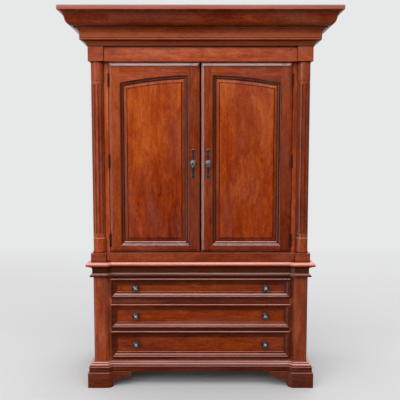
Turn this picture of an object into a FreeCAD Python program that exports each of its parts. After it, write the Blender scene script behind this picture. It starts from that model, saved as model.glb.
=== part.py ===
import FreeCAD, Part
import math
import os

import Sketcher

# Television armoire in two stacked cases: a three-drawer chest with a breakfront base and waist,
# and an upper cabinet with two arched raised-panel doors between fluted half columns under a
# mitred crown.  X runs to the right, Y to the back, Z up.  The origin is on the floor, in the
# middle of the overall width and depth.  Millimetres.

Vector = FreeCAD.Vector

SIZES = {
    # the two cases
    "overall_height": 2100,
    "chest_height": 720,
    "case_width": 1214,
    "case_depth": 578,
    "side_thickness": 19,
    "board_thickness": 20,
    "rail_thickness": 20,
    "back_thickness": 6,
    # breakfront: corner blocks stand forward of the centre and turn back at 45 degrees
    "block_width": 75,
    "break_depth": 20,
    # feet and brackets
    "foot_height": 88,
    "foot_proud": 32,
    "foot_depth": 110,
    "rear_foot_width": 79,
    "bracket_length": 104,
    "bracket_thickness": 20,
    "bracket_end_height": 26,
    "bracket_knee_height": 38,
    "bracket_arch_radius": 44,
    "bracket_toe": 3,
    # base moulding, from the feet up
    "foot_round": 4,
    "base_fascia_height": 25,
    "base_fascia_proud": 25,
    "base_bead_radius": 3,
    "base_ovolo_width": 12,
    "base_ovolo_height": 14,
    "base_ovolo_radius": 15,
    "base_fillet_height": 4,
    "base_fillet_proud": 11,
    "base_cove_radius": 10,
    # corner posts with chamfered pilaster faces
    "post_depth": 80,
    "pilaster_outer_chamfer": 13,
    "pilaster_inner_trim": 9,
    "post_reveal": 5,
    # rails between the drawers, and each drawer's share of the height left over
    "bottom_rail_height": 19,
    "lower_rail_height": 26,
    "upper_rail_height": 45,
    "top_rail_reveal": 18,
    "bottom_drawer_share": 0.386,
    "middle_drawer_share": 0.344,
    # waist: moulding under the chest top, and the nosing of the top
    "top_thickness": 24,
    "nose_proud": 34,
    "nose_top_radius": 13,
    "nose_bottom_radius": 7,
    "waist_height": 60,
    "waist_fillet_height": 9,
    "waist_fillet_proud": 16,
    "waist_cove_radius": 12,
    "waist_neck_proud": 4,
    "waist_crown_proud": 19,
    "waist_crown_fillet": 4,
    # drawers
    "drawer_gap": 1.5,
    "drawer_lip": 4,
    "drawer_panel_thickness": 20,
    "drawer_frame_width": 24,
    "drawer_frame_proud": 10,
    "drawer_bead_width": 10,
    "drawer_bead_proud": 4,
    "drawer_bead_outer_round": 5,
    "drawer_bead_inner_round": 3,
    "drawer_slope_width": 10,
    "drawer_slope_drop": 4,
    "drawer_step_width": 10,
    "drawer_step_proud": 4.5,
    "drawer_step_round": 2,
    "drawer_box_length": 500,
    "drawer_box_wall": 12,
    "drawer_box_bottom": 6,
    "drawer_box_recess": 10,
    "drawer_side_play": 3,
    "drawer_head_play": 15,
    "guide_width": 24,
    "guide_height": 14,
    "guide_play": 0.5,
    "knob_spacing": 735,
    "knob_raise": 3,
    "knob_radius": 20,
    "knob_length": 29,
    "knob_rose_radius": 12,
    "knob_rose_height": 4,
    "knob_neck_radius": 7,
    # upper cabinet front
    "plinth_height": 50,
    "frieze_height": 81,
    "crown_height": 188,
    "corner_block_proud": 8,
    "corner_block_width": 84,
    "corner_block_return": 98,
    "header_height": 22,
    "stile_width": 94,
    "stile_thickness": 22,
    # half columns
    "column_radius": 35.5,
    "column_shaft_inset": 2.5,
    "column_base_height": 87,
    "column_cap_height": 105,
    "column_ledge": 6,
    "flute_margin": 18,
    "flute_radius": 5.5,
    "flute_depth": 5,
    "flute_angle": 36,
    # crown profile: heights and projections from the corner block face, from the bottom up
    "crown_foot_proud": 5,
    "crown_foot_height": 7,
    "crown_cove_proud": 35,
    "crown_cove_height": 20,
    "crown_cove_radius": 60,
    "crown_bead_height": 8,
    "crown_quirk": 2.5,
    "crown_fascia_proud": 37,
    "crown_fascia_height": 26,
    "crown_scoop_proud": 60,
    "crown_scoop_height": 21,
    "crown_scoop_radius": 34,
    "crown_step": 2,
    "crown_fillet_height": 7,
    "crown_lip": 4,
    "crown_ogee_reach": 62,
    "crown_ovolo_radius": 34.3,
    "crown_ovolo_reach": 33.1,
    "crown_ovolo_rise": 25.4,
    "crown_cavetto_radius": 28,
    "crown_cavetto_reach": 22.2,
    "crown_cavetto_rise": 20.3,
    "crown_thickness": 40,
    "crown_heel_height": 85,
    "cornice_board": 26,
    "cornice_overhang": 6,
    "cornice_round": 3,
    "cornice_top_round": 9,
    # cabinet inside
    "shelf_height": 1500,
    "shelf_setback": 30,
    "shelf_play": 2,
    "shelf_cable_gap": 25,
    "pin_radius": 3,
    "pin_play": 0.1,
    "pin_length": 18,
    "pin_depth": 9,
    "pin_hole_depth": 10,
    "pin_pitch": 50,
    "pin_setback": 60,
    "cable_hole_radius": 32,
    "cable_hole_height": 110,
    "cable_hole_spacing": 760,
    # doors
    "door_thickness": 25,
    "door_proud": 3,
    "door_side_gap": 3,
    "door_end_gap": 3,
    "door_meeting_gap": 10,
    "door_bevel_width": 15,
    "door_bevel_depth": 5,
    "door_stile_width": 60,
    "bottom_rail_width": 36,
    "top_rail_side_width": 108,
    "arch_radius": 2350,
    "sticking_outer_width": 9,
    "sticking_outer_drop": 0.5,
    "sticking_outer_round": 7.5,
    "sticking_inner_width": 12,
    "sticking_inner_drop": 6.5,
    "sticking_inner_round": 7,
    "sticking_quirk_width": 1.5,
    "sticking_quirk_depth": 1.5,
    "mitre_reach": 30,
    "panel_groove_depth": 9,
    "panel_play": 1,
    "panel_tongue": 6,
    "panel_tongue_drop": 14,
    "panel_bevel_width": 17,
    "panel_bevel_drop": 5,
    "panel_shoulder_drop": 7,
    "panel_quirk": 4,
    "panel_quirk_lip": 1,
    "panel_quirk_depth": 2.5,
    "panel_field_drop": 3,
    "panel_field_round": 3,
    # hinges
    "hinge_height": 75,
    "hinge_top_inset": 96,
    "hinge_bottom_inset": 64,
    "hinge_axis_proud": 3,
    "hinge_knuckle_radius": 3.8,
    "hinge_pin_radius": 1.5,
    "hinge_pin_play": 0.05,
    "hinge_leaf_thickness": 1.2,
    "hinge_leaf_width": 22,
    "hinge_knuckle_play": 0.3,
    # door pulls
    "pull_offset": 37,
    "pull_drop": 29,
    "pull_length": 164,
    "pull_width": 13,
    "pull_thickness": 2.5,
    "pull_edge_round": 1.4,
    "pull_flare": 4,
    "pull_flare_height": 50,
    "pull_waist_height": 61,
    "pull_waist_width": 9,
    "pull_lobe_radius": 11,
    "pull_knob_radius": 19,
    "pull_knob_length": 30,
}

SIDES = {"left": -1, "right": 1}


class Size:
    """A number together with the sheet formula that gives it."""

    def __init__(self, value, formula):
        self.value = value
        self.formula = formula

    def __add__(self, other):
        other = as_size(other)
        return Size(self.value + other.value, f"({self.formula} + {other.formula})")

    def __sub__(self, other):
        other = as_size(other)
        return Size(self.value - other.value, f"({self.formula} - {other.formula})")

    def __mul__(self, other):
        other = as_size(other)
        return Size(self.value * other.value, f"({self.formula} * {other.formula})")

    def __truediv__(self, other):
        other = as_size(other)
        return Size(self.value / other.value, f"({self.formula} / {other.formula})")

    def __neg__(self):
        return Size(-self.value, f"(-{self.formula})")

    __radd__ = __add__
    __rmul__ = __mul__


def as_size(number):
    return number if isinstance(number, Size) else Size(number, f"({number})")


class SizeSheet:
    """The spreadsheet of driving sizes; each size is read as an attribute."""

    def __init__(self, document, sizes):
        sheet = document.addObject("Spreadsheet::Sheet", "Sizes")
        for row, (alias, number) in enumerate(sizes.items(), start=1):
            sheet.set(f"A{row}", str(number))
            sheet.setAlias(f"A{row}", alias)
            setattr(self, alias, Size(number, f"Sizes.{alias}"))
        document.recompute()


doc = FreeCAD.newDocument("tv_armoire")
size = SizeSheet(doc, SIZES)
nodes = []

ZERO = as_size(0)
# share of a moulding's projection by which a 45 degree turn moves its corner along the run
TURN = Size(math.tan(math.pi / 8), "tan(22.5 deg)")

# planes and levels shared by many pieces
half_case = size.case_width / 2
crown_rim = size.crown_scoop_proud + size.crown_step + size.crown_lip + size.crown_ogee_reach
crown_reach = crown_rim + size.cornice_overhang
back = (size.case_depth + size.corner_block_proud + crown_reach) / 2
case_front = back - size.case_depth
frame_front = case_front + size.break_depth
block_face = case_front - size.corner_block_proud
block_side = half_case + size.corner_block_proud
stile_face = case_front + size.column_radius
stile_back = stile_face + size.stile_thickness
inner_side = half_case - size.side_thickness
panel_face = back - size.back_thickness
block_inner = half_case - size.block_width
center_end = block_inner - size.break_depth
half_opening = center_end - size.post_reveal

base_top = (size.foot_height + size.base_fascia_height + 2 * size.base_bead_radius
            + size.base_ovolo_height + size.base_fillet_height + size.base_cove_radius)
waist_top = size.chest_height - size.top_thickness
waist_bottom = waist_top - size.waist_height
drawer_floor = base_top + size.bottom_rail_height
top_rail_bottom = waist_bottom - size.top_rail_reveal
all_drawers = top_rail_bottom - drawer_floor - size.lower_rail_height - size.upper_rail_height
bottom_drawer_height = all_drawers * size.bottom_drawer_share
middle_drawer_height = all_drawers * size.middle_drawer_share
top_drawer_height = all_drawers - bottom_drawer_height - middle_drawer_height
lower_rail_top = drawer_floor + bottom_drawer_height + size.lower_rail_height
upper_rail_top = lower_rail_top + middle_drawer_height + size.upper_rail_height

door_opening_bottom = size.chest_height + size.plinth_height
crown_bottom = size.overall_height - size.crown_height
door_opening_top = crown_bottom - size.frieze_height
cornice_bottom = size.overall_height - size.cornice_board
cabinet_opening = half_case - size.stile_width

door_face = stile_face - size.door_proud
door_back = door_face + size.door_thickness
door_outer = cabinet_opening - size.door_side_gap
door_inner = size.door_meeting_gap / 2
door_bottom = door_opening_bottom + size.door_end_gap
door_top = door_opening_top - size.door_end_gap
sight_outer = door_outer - size.door_stile_width
sight_inner = door_inner + size.door_stile_width
sight_bottom = door_bottom + size.bottom_rail_width


# ---------------------------------------------------------------- drawing helpers

def bind(feature, name, length):
    """Sets a property of a feature and ties it to the sheet."""
    feature.setExpression(name, length.formula)


def new_body(label):
    body = doc.addObject("PartDesign::Body", label)
    body.Label = label
    return body


def origin_plane(body, role):
    return next(plane for plane in body.Origin.OriginFeatures if plane.Role == role)


def new_sketch(body, role, level=None):
    """Sketch on an origin plane of its body: XY looks down, XZ from the front, YZ from the right."""
    sketch = body.newObject("Sketcher::SketchObject", "Sketch")
    sketch.AttachmentSupport = [(origin_plane(body, role), "")]
    sketch.MapMode = "FlatFace"
    if level is not None:
        normal = -level if role == "XZ_Plane" else level
        sketch.setExpression("AttachmentOffset.Base.z", normal.formula)
    return sketch


def pin_point(sketch, edge, end, u, v):
    """Places the end of an edge by its distances from the sketch's origin."""
    for kind, length in (("DistanceX", u), ("DistanceY", v)):
        index = sketch.addConstraint(Sketcher.Constraint(kind, -1, 1, edge, end, length.value))
        sketch.setExpression(f"Constraints[{index}]", length.formula)


def arc_edge(start, end, radius, turn):
    """Arc from start to end that turns left (+1) or right (-1), less than half a circle."""
    chord = end - start
    reach = math.sqrt(max(radius ** 2 - (chord.Length / 2) ** 2, 0.0))
    sideways = Vector(-chord.y, chord.x, 0).normalize()
    center = (start + end) * 0.5 + sideways * reach * turn
    first, last = (start, end) if turn > 0 else (end, start)
    first_angle = math.atan2(first.y - center.y, first.x - center.x)
    last_angle = math.atan2(last.y - center.y, last.x - center.x)
    circle = Part.Circle(center, Vector(0, 0, 1), radius)
    return Part.ArcOfCircle(circle, first_angle, last_angle)


def draw_outline(sketch, corners, closed=True):
    """Outline through corners (u, v), or (u, v, radius, turn) where the run that follows is an arc."""
    corners = [tuple(as_size(item) for item in corner[:3]) + tuple(corner[3:]) for corner in corners]
    runs = len(corners) if closed else len(corners) - 1
    base = sketch.GeometryCount
    begins, finishes = [], []
    for index in range(runs):
        corner = corners[index]
        following = corners[(index + 1) % len(corners)]
        start = Vector(corner[0].value, corner[1].value, 0)
        end = Vector(following[0].value, following[1].value, 0)
        if len(corner) == 2:
            sketch.addGeometry(Part.LineSegment(start, end), False)
        else:
            sketch.addGeometry(arc_edge(start, end, corner[2].value, corner[3]), False)
        reversed_arc = len(corner) == 4 and corner[3] < 0
        begins.append(2 if reversed_arc else 1)
        finishes.append(1 if reversed_arc else 2)
    for index in range(runs):
        corner = corners[index]
        pin_point(sketch, base + index, begins[index], corner[0], corner[1])
        if closed or index < runs - 1:
            following = (index + 1) % runs
            sketch.addConstraint(Sketcher.Constraint(
                "Coincident", base + index, finishes[index], base + following, begins[following]))
        if len(corner) == 4:
            number = sketch.addConstraint(Sketcher.Constraint("Radius", base + index, corner[2].value))
            sketch.setExpression(f"Constraints[{number}]", corner[2].formula)
    if not closed:
        pin_point(sketch, base + runs - 1, finishes[-1], corners[-1][0], corners[-1][1])


def draw_box(sketch, left, right, low, high):
    draw_outline(sketch, [(left, low), (right, low), (right, high), (left, high)])


def draw_circle(sketch, u, v, radius):
    center = Vector(u.value, v.value, 0)
    index = sketch.addGeometry(Part.Circle(center, Vector(0, 0, 1), radius.value), False)
    pin_point(sketch, index, 3, u, v)
    number = sketch.addConstraint(Sketcher.Constraint("Radius", index, radius.value))
    sketch.setExpression(f"Constraints[{number}]", radius.formula)


def mirrored(corners, side):
    """The corners as drawn for the right side (+1), or mirrored to the left (-1)."""
    if side > 0:
        return corners
    flipped = []
    for corner in corners:
        flipped.append((-as_size(corner[0]),) + tuple(corner[1:3]) + tuple(-turn for turn in corner[3:]))
    return flipped


def pad(body, sketch, length, backwards=False):
    feature = body.newObject("PartDesign::Pad", "Pad")
    feature.Profile = sketch
    bind(feature, "Length", as_size(length))
    feature.Reversed = backwards
    return feature


def pocket(body, sketch, depth, backwards=False):
    """Cut; by default it goes against the sketch plane's normal."""
    feature = body.newObject("PartDesign::Pocket", "Pocket")
    feature.Profile = sketch
    bind(feature, "Length", as_size(depth))
    feature.Reversed = backwards
    return feature


def edges_where(shape, wanted):
    """Names of the edges whose middle, start and end all pass the test."""
    names = []
    for number, edge in enumerate(shape.Edges, start=1):
        places = [edge.valueAt(edge.FirstParameter), edge.valueAt(edge.LastParameter),
                  edge.valueAt((edge.FirstParameter + edge.LastParameter) / 2)]
        if all(wanted(place) for place in places):
            names.append(f"Edge{number}")
    return names


def fillet(body, radius, wanted):
    doc.recompute()
    last = body.Tip
    feature = body.newObject("PartDesign::Fillet", "Fillet")
    feature.Base = (last, edges_where(last.Shape, wanted))
    bind(feature, "Radius", radius)
    return feature


def chamfer(body, width, depth, wanted, flipped=False):
    doc.recompute()
    last = body.Tip
    feature = body.newObject("PartDesign::Chamfer", "Chamfer")
    feature.Base = (last, edges_where(last.Shape, wanted))
    feature.ChamferType = "Two distances"
    bind(feature, "Size", width)
    bind(feature, "Size2", depth)
    feature.FlipDirection = flipped
    return feature


def close(first, second):
    return abs(first - as_size(second).value) < 0.01


def board(label, left, right, front, rear, low, high):
    """Plain rectangular board between six planes."""
    body = new_body(label)
    sketch = new_sketch(body, "XY_Plane", low)
    draw_box(sketch, left, right, front, rear)
    pad(body, sketch, high - low)
    return body


def keep(piece):
    """Puts a finished piece on the list of nodes."""
    nodes.append(piece)
    return piece


# ---------------------------------------------------------------- mouldings round the case

def draw_profile(sketch, profile, place, flipped=False):
    """Draws a moulding section; place turns (projection, height) into sketch coordinates."""
    corners = []
    for corner in profile:
        turns = tuple(-turn if flipped else turn for turn in corner[3:])
        corners.append(place(as_size(corner[0]), as_size(corner[1])) + tuple(corner[2:3]) + turns)
    draw_outline(sketch, corners)


def front_run(label, face, half_length, profile):
    """Straight length of moulding along the front; it is cut to its mitres later."""
    body = new_body(label)
    section = new_sketch(body, "YZ_Plane", -half_length)
    draw_profile(section, profile, lambda proud, height: (face - proud, height), flipped=True)
    pad(body, section, half_length * 2)
    return body


def side_run(label, face, length, profile):
    """Straight length of moulding from the back to the front along the right side."""
    body = new_body(label)
    section = new_sketch(body, "XZ_Plane", back)
    draw_profile(section, profile, lambda proud, height: (face + proud, height))
    pad(body, section, length)
    return body


def corner_run(label, profile):
    """Moulding along the right side, round the corner block and past the end of its 45 degree return."""
    body = new_body(label)
    path = new_sketch(body, "XY_Plane")
    past = size.post_reveal
    draw_outline(path, [
        (half_case, back),
        (half_case, case_front),
        (block_inner, case_front),
        (center_end - past, frame_front + past),
    ], closed=False)
    section = new_sketch(body, "XZ_Plane", back)
    draw_profile(section, profile, lambda proud, height: (half_case + proud, height))
    pipe = body.newObject("PartDesign::AdditivePipe", "Pipe")
    pipe.Profile = section
    pipe.Spine = (path, [])
    pipe.Transition = "Right corner"
    return body


def region(label, corners):
    """Upright prism in plan that marks off one run of a moulding."""
    body = new_body(label)
    sketch = new_sketch(body, "XY_Plane")
    draw_outline(sketch, corners)
    pad(body, sketch, size.overall_height)
    return body


def common(label, first, second):
    piece = doc.addObject("Part::Common", label)
    piece.Label = label
    piece.Base = first
    piece.Tool = second
    return piece


def cut(label, first, second):
    piece = doc.addObject("Part::Cut", label)
    piece.Label = label
    piece.Base = first
    piece.Tool = second
    return piece


def compound(label, pieces):
    group = doc.addObject("Part::Compound", label)
    group.Label = label
    group.Links = pieces
    return group


def mirror(label, piece):
    """The piece's mirror image on the left side."""
    image = doc.addObject("Part::Mirroring", label)
    image.Label = label
    image.Source = piece
    image.Base = Vector(0, 0, 0)
    image.Normal = Vector(1, 0, 0)
    return image


def make_center_region():
    """Plan area of the centre run between the two corner blocks, bounded by its mitres."""
    ahead = 2 * size.nose_proud
    behind = size.break_depth
    front_y = frame_front - ahead
    rear_y = frame_front + behind
    front_x = center_end - ahead * TURN
    rear_x = center_end + behind * TURN
    corners = [(-front_x, front_y), (front_x, front_y), (rear_x, rear_y), (-rear_x, rear_y)]
    return region("center_region", corners)


def base_profile():
    """Fascia, bead, ovolo, fillet and cove, from the feet up to the pilaster."""
    fascia_top = size.foot_height + size.base_fascia_height
    bead_top = fascia_top + 2 * size.base_bead_radius
    ovolo_foot = size.base_fillet_proud + size.base_ovolo_width
    ovolo_top = bead_top + size.base_ovolo_height
    fillet_top = ovolo_top + size.base_fillet_height
    return [
        (ZERO, size.foot_height),
        (size.base_fascia_proud, size.foot_height),
        (size.base_fascia_proud, fascia_top, size.base_bead_radius, 1),
        (size.base_fascia_proud + size.base_bead_radius, fascia_top + size.base_bead_radius,
         size.base_bead_radius, 1),
        (size.base_fascia_proud, bead_top),
        (ovolo_foot, bead_top, size.base_ovolo_radius, 1),
        (size.base_fillet_proud, ovolo_top),
        (size.base_fillet_proud, fillet_top, size.base_cove_radius, -1),
        (size.base_fillet_proud - size.base_cove_radius, base_top),
        (ZERO, base_top),
    ]


def waist_profile():
    """Fillet, cove, neck and upper cove below the nosing of the chest top."""
    fillet_top = waist_bottom + size.waist_fillet_height
    lower_cove_top = fillet_top + size.waist_cove_radius
    upper_cove = size.waist_crown_proud - size.waist_neck_proud
    crown_foot = waist_top - size.waist_crown_fillet
    return [
        (ZERO, waist_bottom),
        (size.waist_fillet_proud, waist_bottom),
        (size.waist_fillet_proud, fillet_top, size.waist_cove_radius, -1),
        (size.waist_neck_proud, lower_cove_top),
        (size.waist_neck_proud, crown_foot - upper_cove, upper_cove, -1),
        (size.waist_crown_proud, crown_foot),
        (size.waist_crown_proud, waist_top),
        (ZERO, waist_top),
    ]


def make_base_and_waist_mouldings():
    center = make_center_region()
    profiles = {"base": base_profile(), "waist": waist_profile()}
    for name, profile in profiles.items():
        length = front_run(f"{name}_center_length", frame_front, half_case, profile)
        keep(common(f"{name}_moulding_center", length, center))
        right = keep(cut(f"{name}_moulding_right", corner_run(f"{name}_corner_length", profile), center))
        keep(mirror(f"{name}_moulding_left", right))


def crown_profile():
    """Section of the crown: foot fillet, cove, bead, fascia, scoop, fillet, ovolo and cavetto."""
    foot_top = crown_bottom + size.crown_foot_height
    bead_foot = foot_top + size.crown_cove_height
    bead_top = bead_foot + size.crown_bead_height
    fascia_foot = bead_top + size.crown_quirk
    fascia_top = fascia_foot + size.crown_fascia_height
    scoop_top = fascia_top + size.crown_scoop_height
    fillet_top = scoop_top + size.crown_fillet_height
    step = size.crown_scoop_proud + size.crown_step
    heel = crown_bottom + size.crown_heel_height
    heel_proud = crown_rim - size.crown_thickness - (cornice_bottom - heel)
    inner = -size.corner_block_proud
    return [
        (inner, crown_bottom),
        (size.crown_foot_proud, crown_bottom),
        (size.crown_foot_proud, foot_top, size.crown_cove_radius, -1),
        (size.crown_cove_proud, bead_foot),
        (size.crown_fascia_proud, bead_foot),
        (size.crown_fascia_proud, bead_top),
        (size.crown_fascia_proud - size.crown_quirk, bead_top),
        (size.crown_fascia_proud - size.crown_quirk, fascia_foot),
        (size.crown_fascia_proud, fascia_foot),
        (size.crown_fascia_proud, fascia_top, size.crown_scoop_radius, -1),
        (size.crown_scoop_proud, scoop_top),
        (step, scoop_top),
        (step, fillet_top),
        (step + size.crown_lip, fillet_top, size.crown_ovolo_radius, 1),
        (step + size.crown_lip + size.crown_ovolo_reach, fillet_top + size.crown_ovolo_rise),
        (crown_rim - size.crown_cavetto_reach, cornice_bottom - size.crown_cavetto_rise,
         size.crown_cavetto_radius, -1),
        (crown_rim, cornice_bottom),
        (crown_rim - size.crown_thickness, cornice_bottom),
        (heel_proud, heel),
        (inner, heel),
    ]


def make_crown():
    """Front run and two side runs, mitred at 45 degrees, under the cornice board."""
    reach = crown_reach + size.cornice_overhang
    inset = size.side_thickness
    half_length = block_side + reach
    front_area = region("crown_region", [
        (-half_length, block_face - reach),
        (half_length, block_face - reach),
        (block_side - inset, block_face + inset),
        (-(block_side - inset), block_face + inset),
    ])
    length = front_run("crown_front_length", block_face, half_length, crown_profile())
    keep(common("crown_front", length, front_area))
    length = side_run("crown_side_length", block_side, back - block_face + reach, crown_profile())
    right = cut("crown_side_right", length, front_area)
    keep(compound("crown_sides", [right, mirror("crown_side_left", right)]))

    body = new_body("cornice_top")
    sketch = new_sketch(body, "XY_Plane", cornice_bottom)
    half = block_side + crown_reach
    draw_box(sketch, -half, half, block_face - crown_reach, back)
    pad(body, sketch, size.cornice_board)
    for level, rounding in ((cornice_bottom, size.cornice_round),
                            (size.overall_height, size.cornice_top_round)):
        fillet(body, rounding, lambda p: close(p.z, level) and (
            close(abs(p.x), half) or close(p.y, block_face - crown_reach)))
    keep(body)


# ---------------------------------------------------------------- chest

def make_feet():
    """Front foot blocks with 45 degree inner returns, and plain rear foot blocks."""
    proud = size.foot_proud
    outer = half_case + proud
    front = case_front - proud
    inner = block_inner - proud * TURN
    return_end = center_end - proud * TURN
    return_y = frame_front - proud
    seat_y = return_y + size.bracket_thickness
    rear = front + size.foot_depth
    for name, side in SIDES.items():
        plan = [
            (outer, front), (inner, front), (return_end, return_y), (return_end, seat_y),
            (inner, rear), (outer, rear),
        ]
        body = new_body(f"front_foot_{name}")
        sketch = new_sketch(body, "XY_Plane")
        draw_outline(sketch, mirrored(plan, side))
        pad(body, sketch, size.foot_height)
        fillet(body, size.foot_round, lambda p: close(p.z, size.foot_height) and (
            close(abs(p.x), outer) or close(p.y, front)))
        keep(body)

    body = new_body("rear_feet")
    sketch = new_sketch(body, "XY_Plane")
    for side in SIDES.values():
        plan = [
            (outer - size.rear_foot_width, back - size.foot_depth), (outer, back - size.foot_depth),
            (outer, back), (outer - size.rear_foot_width, back),
        ]
        draw_outline(sketch, mirrored(plan, side))
    pad(body, sketch, size.foot_height)
    body.AllowCompound = True
    fillet(body, size.foot_round, lambda p: close(p.z, size.foot_height) and close(abs(p.x), outer))
    keep(body)


def bracket_outline(root, direction):
    """Bracket that springs from a foot at root; direction is -1 where it runs to lower values."""
    foot = size.foot_height
    toe = root + direction * size.bracket_toe
    arch_end = toe + direction * size.bracket_arch_radius
    tip = root + direction * size.bracket_length
    knee = foot - size.bracket_knee_height
    spring = knee - size.bracket_arch_radius
    return [
        (root, foot),
        (root, spring),
        (toe, spring, size.bracket_arch_radius, -direction),
        (arch_end, knee),
        (tip, foot - size.bracket_end_height),
        (tip, foot),
    ]


def make_brackets():
    """Six curved foot brackets: two under the front apron and two along each side."""
    body = new_body("foot_brackets")
    body.AllowCompound = True
    proud = size.foot_proud
    front = new_sketch(body, "XZ_Plane", frame_front - proud)
    root = center_end - proud * TURN
    for side in SIDES.values():
        draw_outline(front, mirrored(bracket_outline(root, -1), side))
    pad(body, front, size.bracket_thickness, backwards=True)
    front_root = case_front - proud + size.foot_depth
    rear_root = back - size.foot_depth
    outer = half_case + proud
    for level, backwards in ((outer, True), (-outer, False)):
        sketch = new_sketch(body, "YZ_Plane", level)
        draw_outline(sketch, bracket_outline(front_root, 1))
        draw_outline(sketch, bracket_outline(rear_root, -1))
        pad(body, sketch, size.bracket_thickness, backwards)
    keep(body)


def make_chest_case():
    """Corner posts with pilaster faces, side panels, back, top rail and chest top."""
    post_rear = case_front + size.post_depth
    for name, side in SIDES.items():
        plan = [
            (half_opening, frame_front), (center_end, frame_front), (block_inner, case_front),
            (half_case, case_front), (half_case, post_rear), (half_opening, post_rear),
        ]
        body = new_body(f"chest_post_{name}")
        sketch = new_sketch(body, "XY_Plane", size.foot_height)
        draw_outline(sketch, mirrored(plan, side))
        pad(body, sketch, waist_top - size.foot_height)
        # between the two mouldings the pilaster is narrower and its outer edge is chamfered
        trim = size.pilaster_inner_trim
        edge = size.pilaster_outer_chamfer
        faces = new_sketch(body, "XY_Plane", waist_bottom)
        draw_outline(faces, mirrored([
            (center_end, frame_front), (block_inner, case_front),
            (block_inner + trim, case_front), (center_end + trim, frame_front)], side))
        draw_outline(faces, mirrored([
            (half_case - edge, case_front), (half_case, case_front),
            (half_case, case_front + edge)], side))
        pocket(body, faces, waist_bottom - base_top)
        keep(body)
        inner, outer = sorted((inner_side * side, half_case * side), key=lambda item: item.value)
        keep(board(f"chest_side_{name}", inner, outer, post_rear, back, size.foot_height, waist_top))

    keep(board("chest_back", -inner_side, inner_side, panel_face, back, size.foot_height, waist_top))
    keep(board("chest_top_rail", -half_opening, half_opening, frame_front,
               frame_front + size.rail_thickness, top_rail_bottom, waist_top))

    proud = size.nose_proud
    right = [
        (center_end - proud * TURN, frame_front - proud),
        (block_inner - proud * TURN, case_front - proud),
        (half_case + proud, case_front - proud),
        (half_case + proud, back),
    ]
    body = new_body("chest_top")
    sketch = new_sketch(body, "XY_Plane", waist_top)
    draw_outline(sketch, right + list(reversed(mirrored(right, -1))))
    pad(body, sketch, size.top_thickness)
    fillet(body, size.nose_top_radius, lambda p: close(p.z, size.chest_height) and p.y < back.value - 1
           or close(p.z, size.chest_height) and close(abs(p.x), half_case + proud))
    fillet(body, size.nose_bottom_radius, lambda p: close(p.z, waist_top) and p.y < back.value - 1
           or close(p.z, waist_top) and close(abs(p.x), half_case + proud))
    keep(body)


def make_divider(label, top, front_height):
    """Dust board with its front rail and the two guides that the drawer above runs between."""
    post_rear = case_front + size.post_depth
    body = new_body(label)
    plan = [(half_opening, frame_front), (half_opening, post_rear), (inner_side, post_rear),
            (inner_side, panel_face)]
    sketch = new_sketch(body, "XY_Plane", top - size.board_thickness)
    draw_outline(sketch, plan + list(reversed(mirrored(plan, -1))))
    pad(body, sketch, size.board_thickness)
    rail = new_sketch(body, "XY_Plane", top - front_height)
    draw_box(rail, -half_opening, half_opening, frame_front, frame_front + size.rail_thickness)
    pad(body, rail, front_height)
    guides = new_sketch(body, "XY_Plane", top)
    inner = half_opening - size.drawer_side_play + size.guide_play
    for side in SIDES.values():
        plan = [(inner, post_rear), (inner + size.guide_width, post_rear),
                (inner + size.guide_width, panel_face), (inner, panel_face)]
        draw_outline(guides, mirrored(plan, side))
    pad(body, guides, size.guide_height)
    keep(body)


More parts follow.
